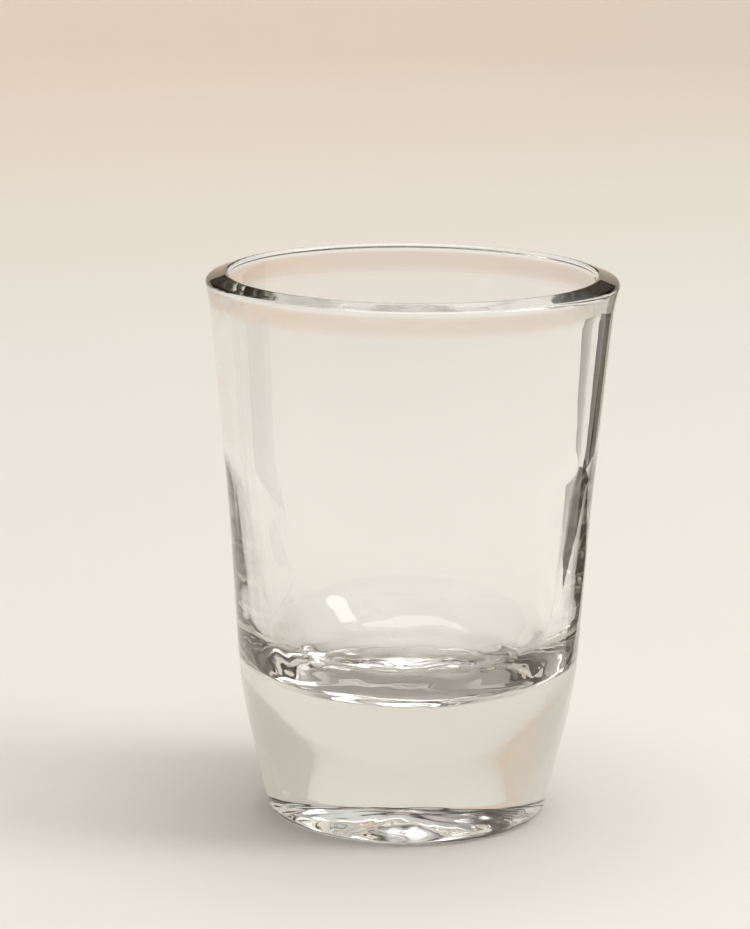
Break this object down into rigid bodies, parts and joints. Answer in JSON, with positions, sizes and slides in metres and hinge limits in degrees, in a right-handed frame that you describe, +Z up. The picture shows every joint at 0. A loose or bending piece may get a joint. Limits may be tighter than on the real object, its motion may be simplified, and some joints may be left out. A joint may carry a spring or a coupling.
{
  "type": "shot glass",
  "caption": "Small tapered drinking glass of thick clear pressed glass, with a rounded lip and a heavy solid base, for a single measure of spirits.",
  "frame": {"origin": "centre of the foot ring, on the plane that the glass stands on", "axes": "+Z up along the axis that the glass is turned about; X and Y lie across it and are alike"},
  "size_m": [0.045, 0.045, 0.0603],
  "materials": {
    "clear_glass": "clear pressed soda-lime glass, fire-polished smooth"
  },
  "bodies": {
    "root": {"glass_body": "clear_glass"}
  },
  "joints": []
}
